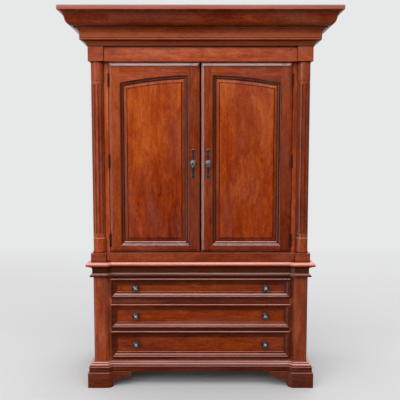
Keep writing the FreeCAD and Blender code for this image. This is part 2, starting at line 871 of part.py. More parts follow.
def make_drawer(name, floor, height):
    """Drawer: panel with a mitred picture-frame moulding, open box and a pair of knobs."""
    body = new_body(f"{name}_drawer_front")
    gap = size.drawer_gap
    half_panel = half_opening - gap
    panel = new_sketch(body, "XZ_Plane", frame_front)
    draw_box(panel, -half_panel, half_panel, floor + gap, floor + height - gap)
    pad(body, panel, size.drawer_panel_thickness, backwards=True)

    lip = size.drawer_lip
    frame_face = frame_front - size.drawer_frame_proud
    bead_face = frame_face - size.drawer_bead_proud
    step_face = frame_front - size.drawer_step_proud

    def inner_edges(inset):
        return half_opening + lip - inset, floor - lip + inset, floor + height + lip - inset

    def draw_ring(sketch, outer, inner):
        for inset in (outer, inner):
            edge_x, low, high = inner_edges(inset)
            draw_box(sketch, -edge_x, edge_x, low, high)

    bead = new_sketch(body, "XZ_Plane", frame_front)
    draw_ring(bead, ZERO, size.drawer_bead_width)
    pad(body, bead, size.drawer_frame_proud + size.drawer_bead_proud)
    frame = new_sketch(body, "XZ_Plane", frame_front)
    draw_ring(frame, size.drawer_bead_width - 1, size.drawer_frame_width)
    pad(body, frame, size.drawer_frame_proud)
    step = new_sketch(body, "XZ_Plane", frame_front)
    draw_ring(step, size.drawer_frame_width - 1, size.drawer_frame_width + size.drawer_step_width)
    pad(body, step, size.drawer_step_proud)
    for inset, radius in ((ZERO, size.drawer_bead_outer_round),
                          (size.drawer_bead_width, size.drawer_bead_inner_round)):
        bead_x, bead_low, bead_high = inner_edges(inset)
        fillet(body, radius, lambda p: close(p.y, bead_face) and (
            close(abs(p.x), bead_x) or close(p.z, bead_low) or close(p.z, bead_high)))
    slope_x, slope_low, slope_high = inner_edges(size.drawer_frame_width)
    chamfer(body, size.drawer_slope_width, size.drawer_slope_drop, lambda p: close(p.y, frame_face) and (
        close(abs(p.x), slope_x) or close(p.z, slope_low) or close(p.z, slope_high)))
    step_x, step_low, step_high = inner_edges(size.drawer_frame_width + size.drawer_step_width)
    fillet(body, size.drawer_step_round, lambda p: close(p.y, step_face) and (
        close(abs(p.x), step_x) or close(p.z, step_low) or close(p.z, step_high)))
    keep(body)

    body = new_body(f"{name}_drawer_box")
    wall = size.drawer_box_wall
    half_box = half_opening - size.drawer_side_play
    box_front = frame_front + size.drawer_panel_thickness
    box_rear = box_front + size.drawer_box_length
    box_height = height - size.drawer_head_play
    outer = new_sketch(body, "XY_Plane", floor)
    draw_box(outer, -half_box, half_box, box_front, box_rear)
    pad(body, outer, box_height)
    inside = new_sketch(body, "XY_Plane", floor + box_height)
    draw_box(inside, -half_box + wall, half_box - wall, box_front, box_rear - wall)
    pocket(body, inside, box_height - size.drawer_box_recess - size.drawer_box_bottom)
    under = new_sketch(body, "XY_Plane", floor)
    draw_box(under, -half_box + wall, half_box - wall, box_front, box_rear - wall)
    pocket(body, under, size.drawer_box_recess, backwards=True)
    keep(body)

    make_knobs(f"{name}_drawer_knobs", floor + height / 2 + size.knob_raise)


def turned_knob(label, radius, length):
    """Iron knob about the Y axis, its foot at Y 0: domed face with four dished petals, and a beaded rim."""
    body = new_body(label)
    rose = size.knob_rose_radius
    face = radius * 0.72
    face_edge = length - radius * 0.1341
    hollow = length - radius * 0.36
    crest = length - radius * 0.2
    rim = length - radius * 0.3
    bead = radius * 0.1
    sketch = new_sketch(body, "XY_Plane")
    draw_outline(sketch, [
        (ZERO, ZERO),
        (ZERO, -length, radius * 2, 1),
        (face, -face_edge),
        (face, -hollow),
        (radius - bead * 2, -hollow),
        (radius - bead * 2, -rim, bead, 1),
        (radius - bead, -crest, bead, 1),
        (radius, -rim, radius * 0.75, 1),
        (size.knob_neck_radius, -(length - radius)),
        (size.knob_neck_radius, -size.knob_rose_height),
        (rose, -size.knob_rose_height / 2),
        (rose, ZERO),
    ])
    turned = body.newObject("PartDesign::Revolution", "Revolution")
    turned.Profile = sketch
    turned.ReferenceAxis = (sketch, ["V_Axis"])
    turned.Angle = 360

    ball = radius * 0.26
    center = radius * 0.42
    level = length + radius * 0.06
    petal = new_sketch(body, "XY_Plane")
    draw_outline(petal, [
        (center, -(level - ball)),
        (center, -(level + ball), ball, 1),
        (center + ball, -level, ball, 1),
    ])
    axis = petal.addGeometry(Part.LineSegment(
        Vector(center.value, -level.value, 0), Vector(center.value, (ball - level).value, 0)), True)
    pin_point(petal, axis, 1, center, -level)
    pin_point(petal, axis, 2, center, ball - level)
    doc.recompute()
    dish = body.newObject("PartDesign::Groove", "Groove")
    dish.Profile = petal
    dish.ReferenceAxis = (petal, ["Axis0"])
    dish.Angle = 360
    doc.recompute()
    petals = body.newObject("PartDesign::PolarPattern", "Petals")
    petals.Originals = [dish]
    y_axis = next(item for item in body.Origin.OriginFeatures if item.Role == "Y_Axis")
    petals.Axis = (y_axis, [""])
    petals.Angle = 360
    petals.Occurrences = 4
    body.Tip = petals
    return body


def make_knobs(label, level):
    """Two turned knobs on one drawer."""
    pair = []
    for name, side in SIDES.items():
        body = turned_knob(f"{label}_{name}", size.knob_radius, size.knob_length)
        bind(body, "Placement.Base.x", side * size.knob_spacing / 2)
        bind(body, "Placement.Base.y", frame_front)
        bind(body, "Placement.Base.z", level)
        pair.append(body)
    keep(compound(label, pair))


def make_chest():
    make_feet()
    make_brackets()
    make_chest_case()
    make_divider("chest_bottom", drawer_floor, drawer_floor - size.foot_height)
    make_divider("lower_divider", lower_rail_top, size.lower_rail_height)
    make_divider("upper_divider", upper_rail_top, size.upper_rail_height)
    make_drawer("bottom", drawer_floor, bottom_drawer_height)
    make_drawer("middle", lower_rail_top, middle_drawer_height)
    make_drawer("top", upper_rail_top, top_drawer_height)


# ---------------------------------------------------------------- upper cabinet

def make_cabinet_case():
    """Sides with shelf-pin holes, deck, top, back with cable holes, and the front stiles."""
    for name, side in SIDES.items():
        inner, outer = sorted((inner_side * side, half_case * side), key=lambda item: item.value)
        body = board(f"cabinet_side_{name}", inner, outer, stile_back, back,
                     size.chest_height, cornice_bottom)
        holes = new_sketch(body, "YZ_Plane", inner_side * side)
        for row in (stile_back + size.pin_setback, panel_face - size.pin_setback):
            for step in range(-3, 4):
                level = size.shelf_height - size.pin_radius + step * size.pin_pitch
                draw_circle(holes, row, level, size.pin_radius + size.pin_play)
        pocket(body, holes, size.pin_hole_depth, backwards=side > 0)
        keep(body)

        inner, outer = sorted((cabinet_opening * side, half_case * side), key=lambda item: item.value)
        keep(board(f"cabinet_stile_{name}", inner, outer, stile_face, stile_back,
                   size.chest_height, crown_bottom))

    thickness = size.board_thickness
    keep(board("cabinet_bottom", -inner_side, inner_side, stile_back, panel_face,
               door_opening_bottom - thickness, door_opening_bottom))
    keep(board("cabinet_top", -inner_side, inner_side, stile_back, panel_face,
               door_opening_top, door_opening_top + thickness))

    body = board("cabinet_back", -inner_side, inner_side, panel_face, back,
                 size.chest_height, cornice_bottom)
    holes = new_sketch(body, "XZ_Plane", panel_face)
    for side in SIDES.values():
        draw_circle(holes, side * size.cable_hole_spacing / 2, door_opening_bottom + size.cable_hole_height,
                    size.cable_hole_radius)
    pocket(body, holes, size.back_thickness)
    keep(body)


def make_front_rail(label, face_low, face_high, flange_low, flange_high):
    """Rail as wide as the case, with a flange to the stiles and a strip between them."""
    body = new_body(label)
    section = new_sketch(body, "YZ_Plane", -half_case)
    rail_rear = case_front + size.rail_thickness
    corners = [(case_front, face_low), (case_front, face_high), (rail_rear, face_high)]
    if flange_high is face_high:
        corners = [(case_front, face_low), (case_front, face_high), (stile_face, face_high),
                   (stile_face, flange_low), (rail_rear, flange_low), (rail_rear, face_low)]
    else:
        corners += [(rail_rear, flange_high), (stile_face, flange_high), (stile_face, face_low)]
    draw_outline(section, corners)
    pad(body, section, size.case_width)
    strip = new_sketch(body, "XY_Plane", flange_low)
    draw_box(strip, -cabinet_opening, cabinet_opening, stile_face, stile_back)
    pad(body, strip, flange_high - flange_low)
    return body


def make_corner_blocks():
    """Blocks that wrap the corners of the plinth and the frieze, one above and one below a column."""
    outer = block_side
    inner = block_side - size.corner_block_width
    rear = block_face + size.corner_block_return
    body_names = {
        "plinth_blocks": (size.chest_height, size.plinth_height),
        "frieze_blocks": (door_opening_top, size.frieze_height),
    }
    for label, (low, height) in body_names.items():
        body = new_body(label)
        body.AllowCompound = True
        sketch = new_sketch(body, "XY_Plane", low)
        for side in SIDES.values():
            plan = [(inner, block_face), (outer, block_face), (outer, rear), (half_case, rear),
                    (half_case, case_front), (inner, case_front)]
            draw_outline(sketch, mirrored(plan, side))
        pad(body, sketch, height)
        keep(body)


def make_column(label, side):
    """Half column: base drum, fluted shaft and cap drum, with a sloping ledge at each joint."""
    body = new_body(label)
    radius = size.column_radius
    shaft = radius - size.column_shaft_inset
    low = size.column_base_height
    height = door_opening_top - door_opening_bottom
    high = height - size.column_cap_height
    section = new_sketch(body, "XZ_Plane")
    draw_outline(section, [
        (ZERO, ZERO),
        (radius, ZERO),
        (radius, low - size.column_ledge),
        (shaft, low),
        (shaft, high),
        (radius, high + size.column_ledge),
        (radius, height),
        (ZERO, height),
    ])
    turned = body.newObject("PartDesign::Revolution", "Revolution")
    turned.Profile = section
    turned.ReferenceAxis = (section, ["V_Axis"])
    turned.Angle = 180
    turned.Reversed = True

    cut_axis = shaft + size.flute_radius - size.flute_depth
    flute_low = low + size.flute_margin
    flute_high = high - size.flute_margin
    flute = new_sketch(body, "XZ_Plane")
    flute.AttachmentOffset = FreeCAD.Placement(Vector(0, 0, 0), FreeCAD.Rotation(Vector(0, 1, 0), 1))
    flute.setExpression("AttachmentOffset.Rotation.Angle", f"-{size.flute_angle.formula} * 1 deg")
    draw_outline(flute, [
        (cut_axis, flute_low, size.flute_radius, 1),
        (cut_axis + size.flute_radius, flute_low + size.flute_radius),
        (cut_axis + size.flute_radius, flute_high - size.flute_radius, size.flute_radius, 1),
        (cut_axis, flute_high),
    ])
    axis = flute.addGeometry(Part.LineSegment(
        Vector(cut_axis.value, flute_low.value, 0), Vector(cut_axis.value, flute_high.value, 0)), True)
    pin_point(flute, axis, 1, cut_axis, flute_low)
    pin_point(flute, axis, 2, cut_axis, flute_high)
    doc.recompute()
    hollow = body.newObject("PartDesign::Groove", "Groove")
    hollow.Profile = flute
    hollow.ReferenceAxis = (flute, ["Axis0"])
    hollow.Angle = 360
    doc.recompute()
    row = body.newObject("PartDesign::PolarPattern", "Flutes")
    row.Originals = [hollow]
    z_axis = next(item for item in body.Origin.OriginFeatures if item.Role == "Z_Axis")
    row.Axis = (z_axis, [""])
    row.Reversed = True
    row.Mode = "Spacing"
    row.setExpression("Offset", f"{size.flute_angle.formula} * 1 deg")
    row.Occurrences = 4
    body.Tip = row
    bind(body, "Placement.Base.x", side * (half_case - radius))
    bind(body, "Placement.Base.y", stile_face)
    bind(body, "Placement.Base.z", door_opening_bottom)
    return keep(body)


def make_shelf():
    """Adjustable shelf on four pins."""
    level = size.shelf_height
    half = inner_side - size.shelf_play
    keep(board("shelf", -half, half, stile_back + size.shelf_setback, panel_face - size.shelf_cable_gap,
               level, level + size.board_thickness))
    pins = []
    for name, side in SIDES.items():
        for row, setback in (("front", stile_back + size.pin_setback),
                             ("rear", panel_face - size.pin_setback)):
            body = new_body(f"shelf_pin_{name}_{row}")
            sketch = new_sketch(body, "YZ_Plane", (inner_side + size.pin_depth) * side)
            draw_circle(sketch, setback, level - size.pin_radius, size.pin_radius)
            pad(body, sketch, size.pin_length, backwards=side > 0)
            pins.append(body)
    keep(compound("shelf_pins", pins))


def make_cabinet():
    make_cabinet_case()
    plinth_flange = door_opening_bottom - size.board_thickness
    keep(make_front_rail("plinth_rail", size.chest_height, door_opening_bottom, plinth_flange,
                         door_opening_bottom))
    keep(make_front_rail("frieze_rail", door_opening_top, cornice_bottom, door_opening_top,
                         door_opening_top + size.header_height))
    make_corner_blocks()
    for name, side in SIDES.items():
        make_column(f"column_{name}", side)
    make_shelf()
    make_crown()


# ---------------------------------------------------------------- doors

def rise(radius, x):
    """Height of a circle above its centre, at a distance x from it."""
    return Size(math.sqrt(radius.value ** 2 - x.value ** 2),
                f"sqrt({radius.formula} * {radius.formula} - {x.formula} * {x.formula})")


# one arch runs over both doors; its centre lies in the middle plane
arch_center = door_top - size.top_rail_side_width - rise(size.arch_radius, sight_outer)


def arch_height(x, inset):
    """Height of the arch, inset by a margin, at a distance x from the middle of the pair."""
    return arch_center + rise(size.arch_radius - inset, x)


def arched_outline(inset):
    """Outline of the arched door opening, inset from the sight edge, for the right door."""
    left = sight_inner + inset
    right = sight_outer - inset
    low = sight_bottom + inset
    return [
        (left, low),
        (right, low),
        (right, arch_height(right, inset), size.arch_radius - inset, 1),
        (left, arch_height(left, inset)),
    ]


def is_door_outline(p):
    """True on the front edges of the door: both long edges, the top and the bottom."""
    on_side = close(p.x, door_outer) or close(p.x, door_inner)
    on_end = close(p.z, door_top) or close(p.z, door_bottom)
    return close(p.y, door_face) and (on_side or on_end)


def make_door_blank():
    """Whole door frame: bevelled slab with the arched opening and the panel groove."""
    body = new_body("door_blank")
    slab = new_sketch(body, "XZ_Plane", door_face)
    draw_box(slab, door_inner, door_outer, door_bottom, door_top)
    draw_outline(slab, arched_outline(ZERO))
    pad(body, slab, size.door_thickness, backwards=True)
    chamfer(body, size.door_bevel_width, size.door_bevel_depth, is_door_outline, flipped=True)
    groove = new_sketch(body, "XZ_Plane", door_face + size.panel_tongue_drop)
    draw_outline(groove, arched_outline(-size.panel_groove_depth))
    pocket(body, groove, size.panel_tongue)
    return body


def make_door_frame():
    """Two full-height stiles and two rails, cut from the blank along the inner edges of the stiles."""
    blank = make_door_blank()
    area = new_body("door_rail_area")
    sketch = new_sketch(area, "XZ_Plane", door_back + 1)
    draw_box(sketch, sight_inner, sight_outer, door_bottom - 1, door_top + 1)
    pad(area, sketch, size.door_thickness + 2)
    return [common("right_door_rails", blank, area), cut("right_door_stiles", blank, area)]


def sticking_profile():
    """Section of the moulding inside the frame: (distance from the opening's edge, depth)."""
    step = size.sticking_outer_width
    inner = step + size.sticking_inner_width
    back_depth = size.panel_tongue_drop
    outer_round = size.sticking_outer_round
    inner_round = size.sticking_inner_round
    quirk_floor = size.sticking_outer_drop + outer_round + size.sticking_quirk_depth
    return [
        (ZERO, back_depth),
        (ZERO, size.sticking_outer_drop),
        (step - outer_round, size.sticking_outer_drop, outer_round, 1),
        (step, size.sticking_outer_drop + outer_round),
        (step, quirk_floor),
        (step + size.sticking_quirk_width, quirk_floor),
        (step + size.sticking_quirk_width, size.sticking_inner_drop),
        (inner - inner_round, size.sticking_inner_drop, inner_round, 1),
        (inner, size.sticking_inner_drop + inner_round),
        (inner, back_depth),
    ]


def sticking_lengths():
    """Uncut lengths of the moulding: bottom, right, arched top and left."""
    reach = size.mitre_reach
    profile = sticking_profile()
    bottom = new_body("sticking_bottom")
    section = new_sketch(bottom, "YZ_Plane", sight_inner - reach)
    draw_profile(section, profile, lambda u, w: (door_face + w, sight_bottom + u), flipped=True)
    pad(bottom, section, sight_outer - sight_inner + reach * 2)

    sides = []
    for label, edge, inward in (("right", sight_outer, -1), ("left", sight_inner, 1)):
        body = new_body(f"sticking_{label}")
        section = new_sketch(body, "XY_Plane", sight_bottom - reach)

        def place(u, w, edge=edge, inward=inward):
            return edge + inward * u, door_face + w

        draw_profile(section, profile, place, flipped=inward < 0)
        pad(body, section, door_top - sight_bottom + reach)
        sides.append(body)

    top = new_body("sticking_top")
    section = new_sketch(top, "YZ_Plane")
    draw_profile(section, profile, lambda u, w: (door_face + w, arch_center + size.arch_radius - u))
    axis = section.addGeometry(Part.LineSegment(
        Vector(door_face.value, arch_center.value, 0), Vector(door_back.value, arch_center.value, 0)), True)
    pin_point(section, axis, 1, door_face, arch_center)
    pin_point(section, axis, 2, door_back, arch_center)
    turned = top.newObject("PartDesign::Revolution", "Revolution")
    turned.Profile = section
    turned.ReferenceAxis = (section, ["Axis0"])
    turned.Midplane = True
    turned.Angle = 60
    return [bottom, sides[0], top, sides[1]]


def make_sticking():
    """Stepped moulding inside the door frame: four lengths cut to the mitres at its corners."""
    outer = [corner[:2] for corner in arched_outline(-size.mitre_reach)]
    inner = [corner[:2] for corner in arched_outline(size.mitre_reach)]
    runs = []
    for index, length in enumerate(sticking_lengths()):
        following = (index + 1) % len(outer)
        area = new_body(f"sticking_area_{index + 1}")
        sketch = new_sketch(area, "XZ_Plane", door_back)
        draw_outline(sketch, [outer[index], outer[following], inner[following], inner[index]])
        pad(area, sketch, size.door_thickness + 1)
        runs.append(common(f"sticking_run_{index + 1}", length, area))
    return compound("right_door_moulding", runs)


def make_panel():
    """Raised panel: tongue in the frame's groove, bevel, quirk and raised arched field."""
    body = new_body("right_door_panel")
    tongue_face = door_face + size.panel_tongue_drop
    bevel_start = size.sticking_outer_width + size.sticking_inner_width
    tongue = new_sketch(body, "XZ_Plane", tongue_face)
    draw_outline(tongue, arched_outline(size.panel_play - size.panel_groove_depth))
    pad(body, tongue, size.panel_tongue, backwards=True)
    bevel = new_sketch(body, "XZ_Plane", tongue_face)
    draw_outline(bevel, arched_outline(bevel_start))
    pad(body, bevel, size.panel_tongue_drop - size.panel_shoulder_drop)
    shoulder = door_face + size.panel_shoulder_drop
    chamfer(body, size.panel_bevel_width, size.panel_bevel_drop, lambda p: close(p.y, shoulder),
            flipped=True)
    bevel_end = bevel_start + size.panel_bevel_width
    quirk = new_sketch(body, "XZ_Plane", shoulder)
    draw_outline(quirk, arched_outline(bevel_end + size.panel_quirk_lip))
    pocket(body, quirk, size.panel_quirk_depth)
    field = new_sketch(body, "XZ_Plane", tongue_face)
    draw_outline(field, arched_outline(bevel_end + size.panel_quirk))
    pad(body, field, size.panel_tongue_drop - size.panel_field_drop)
    field_face = door_face + size.panel_field_drop
    fillet(body, size.panel_field_round, lambda p: close(p.y, field_face))
    return body


def plate_outline():
    """Backplate: straight bar that flares, narrows to a waist and ends in a round lobe."""
    bar = size.pull_width / 2
    flare = bar + size.pull_flare
    waist = size.pull_waist_width / 2
    lobe = size.pull_lobe_radius
    end = size.pull_length / 2
    lobe_center = end - lobe
    upper_right = [
        (bar, size.pull_flare_height - 2 * size.pull_flare),
        (flare, size.pull_flare_height, size.pull_flare * 3, -1),
        (waist, size.pull_waist_height),
        (lobe, lobe_center, lobe, 1),
    ]
    top = [(ZERO, end, lobe, 1)]
    upper_left = [
        (-lobe, lobe_center),
        (-waist, size.pull_waist_height, size.pull_flare * 3, -1),
        (-flare, size.pull_flare_height),
        (-bar, size.pull_flare_height - 2 * size.pull_flare),
    ]
    upper = upper_right + top + upper_left
    lower = [(-corner[0], -corner[1]) + tuple(corner[2:]) for corner in upper]
    return upper + lower


def make_pull():
    """Door pull: shaped backplate with rounded front edges and a turned knob."""
    plate = new_body("pull_plate")
    sketch = new_sketch(plate, "XZ_Plane")
    draw_outline(sketch, plate_outline())
    pad(plate, sketch, size.pull_thickness)
    fillet(plate, size.pull_edge_round, lambda p: abs(p.y) > size.pull_thickness.value / 2)
    knob = turned_knob("pull_knob", size.pull_knob_radius, size.pull_knob_length)
    level = (door_bottom + door_top) / 2 - size.pull_drop
    for piece, face in ((plate, door_face), (knob, door_face - size.pull_thickness)):
        bind(piece, "Placement.Base.x", door_inner + size.pull_offset)
        bind(piece, "Placement.Base.y", face)
        bind(piece, "Placement.Base.z", level)
    return compound("right_door_pull", [plate, knob])


def hinge_levels():
    """Lower ends of the three hinges of a door."""
    half = size.hinge_height / 2
    low = door_bottom + size.hinge_bottom_inset
    high = door_top - size.hinge_top_inset
    return low - half, (low + high) / 2 - half, high - half


def make_hinge_half(label, base, on_door):
    """One leaf with its knuckles; the frame's half has three knuckles and the pin."""
    body = new_body(label)
    axis_x = cabinet_opening - size.door_side_gap / 2
    axis_y = door_face - size.hinge_axis_proud
    knuckles = 5
    pitch = size.hinge_height / knuckles
    play = size.hinge_knuckle_play
    if on_door:
        near, far = door_outer, door_outer + size.hinge_leaf_thickness
    else:
        near, far = cabinet_opening - size.hinge_leaf_thickness, cabinet_opening
    leaf_rear = axis_y + size.hinge_axis_proud + size.hinge_leaf_width
    for number in range(knuckles):
        if (number % 2 == 1) != on_door:
            continue
        low = base + number * pitch + play / 2
        barrel = new_sketch(body, "XY_Plane", low)
        draw_circle(barrel, axis_x, axis_y, size.hinge_knuckle_radius)
        if on_door:
            draw_circle(barrel, axis_x, axis_y, size.hinge_pin_radius + size.hinge_pin_play)
        pad(body, barrel, pitch - play)
        tab = new_sketch(body, "XY_Plane", low)
        start = axis_y + size.hinge_pin_radius + size.hinge_pin_play * 2
        draw_box(tab, near, far, start, leaf_rear)
        pad(body, tab, pitch - play)
    leaf = new_sketch(body, "XY_Plane", base)
    draw_box(leaf, near, far, axis_y + size.hinge_knuckle_radius + play, leaf_rear)
    pad(body, leaf, size.hinge_height)
    if not on_door:
        pin = new_sketch(body, "XY_Plane", base)
        draw_circle(pin, axis_x, axis_y, size.hinge_pin_radius)
        pad(body, pin, size.hinge_height)
    return body


def make_doors():
    """The right door is drawn and the left one is its mirror image."""
    door_halves = []
    frame_halves = []
    for number, base in enumerate(hinge_levels(), start=1):
        door_halves.append(make_hinge_half(f"door_leaf_{number}", base, True))
        frame_halves.append(make_hinge_half(f"frame_leaf_{number}", base, False))
    pieces = make_door_frame() + [make_sticking(), make_panel(), make_pull()]
    pieces.append(compound("right_door_hinge_leaves", door_halves))
    for piece in pieces:
        keep(piece)
        keep(mirror(piece.Label.replace("right", "left"), piece))
    right_halves = compound("right_frame_leaves", frame_halves)
    keep(compound("frame_hinge_leaves", [right_halves, mirror("left_frame_leaves", right_halves)]))


def check_document():
    """Stops if any feature failed or any node is empty or broken."""
    for item in doc.Objects:
        if "Invalid" in item.State or "Error" in item.State:
            raise RuntimeError(f"{item.Label} failed: {item.State}")
    for piece in nodes:
        if piece.Shape.isNull() or not piece.Shape.isValid() or not piece.Shape.Solids:
            raise RuntimeError(f"{piece.Label} has no valid solid")


def export_nodes():
    os.makedirs("parts", exist_ok=True)
    for piece in nodes:
        piece.Shape.exportStep(f"parts/{piece.Label}.step")


make_chest()
make_base_and_waist_mouldings()
make_cabinet()
make_doors()
doc.recompute()
check_document()
export_nodes()
print(len(nodes), "nodes")
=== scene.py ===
import math

import bpy
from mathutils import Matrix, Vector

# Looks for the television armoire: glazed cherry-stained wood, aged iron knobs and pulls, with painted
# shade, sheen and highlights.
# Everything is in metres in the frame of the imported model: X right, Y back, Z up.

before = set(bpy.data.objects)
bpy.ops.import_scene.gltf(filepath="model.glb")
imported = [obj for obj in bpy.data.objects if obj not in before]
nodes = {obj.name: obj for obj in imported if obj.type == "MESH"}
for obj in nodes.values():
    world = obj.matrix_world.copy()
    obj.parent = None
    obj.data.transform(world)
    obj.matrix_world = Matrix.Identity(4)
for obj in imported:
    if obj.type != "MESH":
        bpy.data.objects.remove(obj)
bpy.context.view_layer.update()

AXES = {"X": 0, "Y": 1, "Z": 2}


# ---------------------------------------------------------------- shader nodes

def rgba(colour):
    """A colour with its alpha; a socket stays as it is."""
    return (*colour, 1.0) if isinstance(colour, tuple) else colour


class Nodes:
    """Short way to make and link the shader nodes of a material or world."""

    def __init__(self, owner):
        owner.use_nodes = True
        self.tree = owner.node_tree
        self.tree.nodes.clear()

    def new(self, kind, inputs=None, **settings):
        node = self.tree.nodes.new(kind)
        for name, value in settings.items():
            setattr(node, name, value)
        for name, value in (inputs or {}).items():
            socket = node.inputs[name]
            if isinstance(value, bpy.types.NodeSocket):
                self.tree.links.new(value, socket)
            else:
                socket.default_value = value
        return node

    def math(self, operation, first, second=0.0, clamp=False):
        return self.new("ShaderNodeMath", {0: first, 1: second}, operation=operation,
                        use_clamp=clamp).outputs[0]

    def mix(self, factor, first, second):
        """Turns the first colour into the second one by a factor."""
        node = self.new("ShaderNodeMix", data_type="RGBA", blend_type="MIX", clamp_factor=True)
        for index, value in ((0, factor), (6, rgba(first)), (7, rgba(second))):
            if isinstance(value, bpy.types.NodeSocket):
                self.tree.links.new(value, node.inputs[index])
            else:
                node.inputs[index].default_value = value
        return node.outputs[2]

    def noise(self, vector, scale, detail, roughness, distortion=0.0):
        return self.new("ShaderNodeTexNoise", {
            "Vector": vector, "Scale": scale, "Detail": detail, "Roughness": roughness,
            "Distortion": distortion}).outputs["Fac"]

    def between(self, value, low, high, new_low=0.0, new_high=1.0):
        """Maps low to new_low and high to new_high, with no values beyond them."""
        return self.new("ShaderNodeMapRange", {
            "Value": value, "From Min": low, "From Max": high,
            "To Min": new_low, "To Max": new_high}).outputs[0]

    def place(self):
        """Position on the piece."""
        return self.new("ShaderNodeTexCoord").outputs["Object"]

    def along(self, vector, axis):
        """A vector's part along an axis."""
        return self.new("ShaderNodeSeparateXYZ", {0: vector}).outputs[AXES[axis]]

    def openness(self, distance, samples):
        """How open the surroundings are within a distance, lower in hollows."""
        return self.new("ShaderNodeAmbientOcclusion", {"Distance": distance}, samples=samples).outputs["AO"]

    def fullness(self, distance, samples):
        """How open the piece's own inside is within a distance, lower behind an edge."""
        return self.new("ShaderNodeAmbientOcclusion", {"Distance": distance}, samples=samples, inside=True,
                        only_local=True).outputs["AO"]

    def rounded(self, radius, samples):
        """Normal with the edges rounded."""
        return self.new("ShaderNodeBevel", {"Radius": radius}, samples=samples).outputs[0]

    def bump(self, strength, distance, height, normal):
        return self.new("ShaderNodeBump", {"Strength": strength, "Distance": distance, "Height": height,
                                           "Normal": normal}).outputs[0]


def set_ramp(ramp, stops):
    """Gives a new colour ramp its (position, colour) pairs."""
    while len(ramp.elements) < len(stops):
        ramp.elements.new(1.0)
    for element, (position, colour) in zip(ramp.elements, stops):
        element.position = position
        element.color = rgba(colour)


def scaled(colour, factor):
    return tuple(part * factor for part in colour)


# ---------------------------------------------------------------- colours and patterns

# dark glaze, also the colour of painted shade in hollows and on frames
GLAZE_AND_SHADE = (0.009, 0.0018, 0.0010)
# painted sheen colours, standing in for the sky's reflection on upward faces
PINK_SHEEN = (0.78, 0.35, 0.29)
PALE_SHEEN = (0.95, 0.71, 0.68)
# pink of edges made paler by wear and by painted highlight, also a painted sheen colour
RIM_AND_SHEEN = (0.34, 0.115, 0.087)
# painted sheen colour of the door mouldings
MOULDING_SHEEN = (0.66, 0.37, 0.34)
HAZE = (0.40, 0.24, 0.20)

# stains, each from its darkest to its palest
CASE = ((0.110, 0.012, 0.0018), (0.215, 0.031, 0.0052), (0.330, 0.064, 0.0130))
PANEL = ((0.120, 0.009, 0.0008), (0.275, 0.034, 0.0030), (0.450, 0.088, 0.0090))
PLAIN = ((0.20, 0.10, 0.045), (0.33, 0.18, 0.085), (0.45, 0.27, 0.14))
PLY = ((0.13, 0.065, 0.032), (0.21, 0.115, 0.06), (0.30, 0.18, 0.10))
STAIN_STOPS = (0.15, 0.5, 0.85)

# noises: scale, detail, roughness and distortion
CLOUDS = (5.0, 3.0, 0.55, 0.8)
RAGGED = (24.0, 5.0, 0.68, 1.2)
STREAKS = (85.0, 4.0, 0.6, 0.4)
FIBRES = (480.0, 3.0, 0.7)
FLECKS = (75.0, 4.0, 0.75, 0.6)
HAZINESS = (9.0, 4.0, 0.6, 0.5)
HOLLOW_PATCHES = (30.0, 3.0, 0.6)
EDGE_PATCHES = (22.0, 4.0, 0.7)
SHEEN_STREAKS = (30.0, 3.0, 0.6)
MOTTLE = (160.0, 5.0, 0.65)
PAVING = (40.0, 6.0, 0.7)

# how much a noise is drawn out along the grain
GRAIN_SQUEEZE = 0.06
FIGURE_SQUEEZE = 0.28

# shares of the noises in the stain
CLOUD_SHARE = 0.8
RAGGED_SHARE = 0.85
STREAK_SHARE = 0.35
FIBRE_SHARE = 0.5
FLECK_SHARE = 0.55

# ranges for between: low, high, and what they turn into
PORES = (0.32, 0.43, 0.5, 0.0)
HAZE_COVER = (0.42, 0.72, 0.0, 0.08)
WIDE_HOLLOWS = (0.40, 0.85)
NARROW_HOLLOWS = (0.58, 0.95)
HOLLOW_COVER = (0.35, 0.65, 0.85, 1.0)
EDGES = (0.75, 0.35)
EDGE_COVER = (0.42, 0.6)
FLAT_TOPS = (0.90, 0.98, 1.0, 0.3)
SHEEN_COVER = (0.3, 0.7, 0.5, 1.0)
UPRIGHT_FACES = (0.05, 0.3, 1.0, 0.2)
STREAK_SPREAD = (0.3, 0.7)
FRONT_FACING = (0.955, 0.99)
TURNED_UP = (0.0, 0.15)
TURNED_LEFT = (-0.1, -0.25, 0.0, 0.9)
SIDE_FACES = (-0.9, -0.75)

# reaches in metres, each with its samples
WIDE_REACH = (0.02, 8)
NARROW_REACH = (0.006, 8)
EDGE_REACH = (0.004, 4)
ROUNDING = (0.002, 6)
METAL_ROUNDING = (0.0008, 4)
METAL_EDGE_SAMPLES = 4

# bumps: strength and height in metres
WOOD_BUMP = (0.2, 0.0005)
METAL_BUMP = (0.3, 0.0004)

# shares and steps of the wood
PORE_DARKNESS = 0.25
WIDE_SHARE = 0.8
TILT_SPAN = 0.3
STAIN_LEFT = 0.6
RIM_SHARE = 0.5
GLOSSIER = -0.04
DULLER = 0.06
GLAZE_ROUGHNESS = 0.2
GLAZE_DULLING = 0.85
FRONT_COAT = 0.05
COAT_ROUGHNESS = 0.18
FIBRE_RELIEF = 0.7
STREAK_RELIEF = 0.6


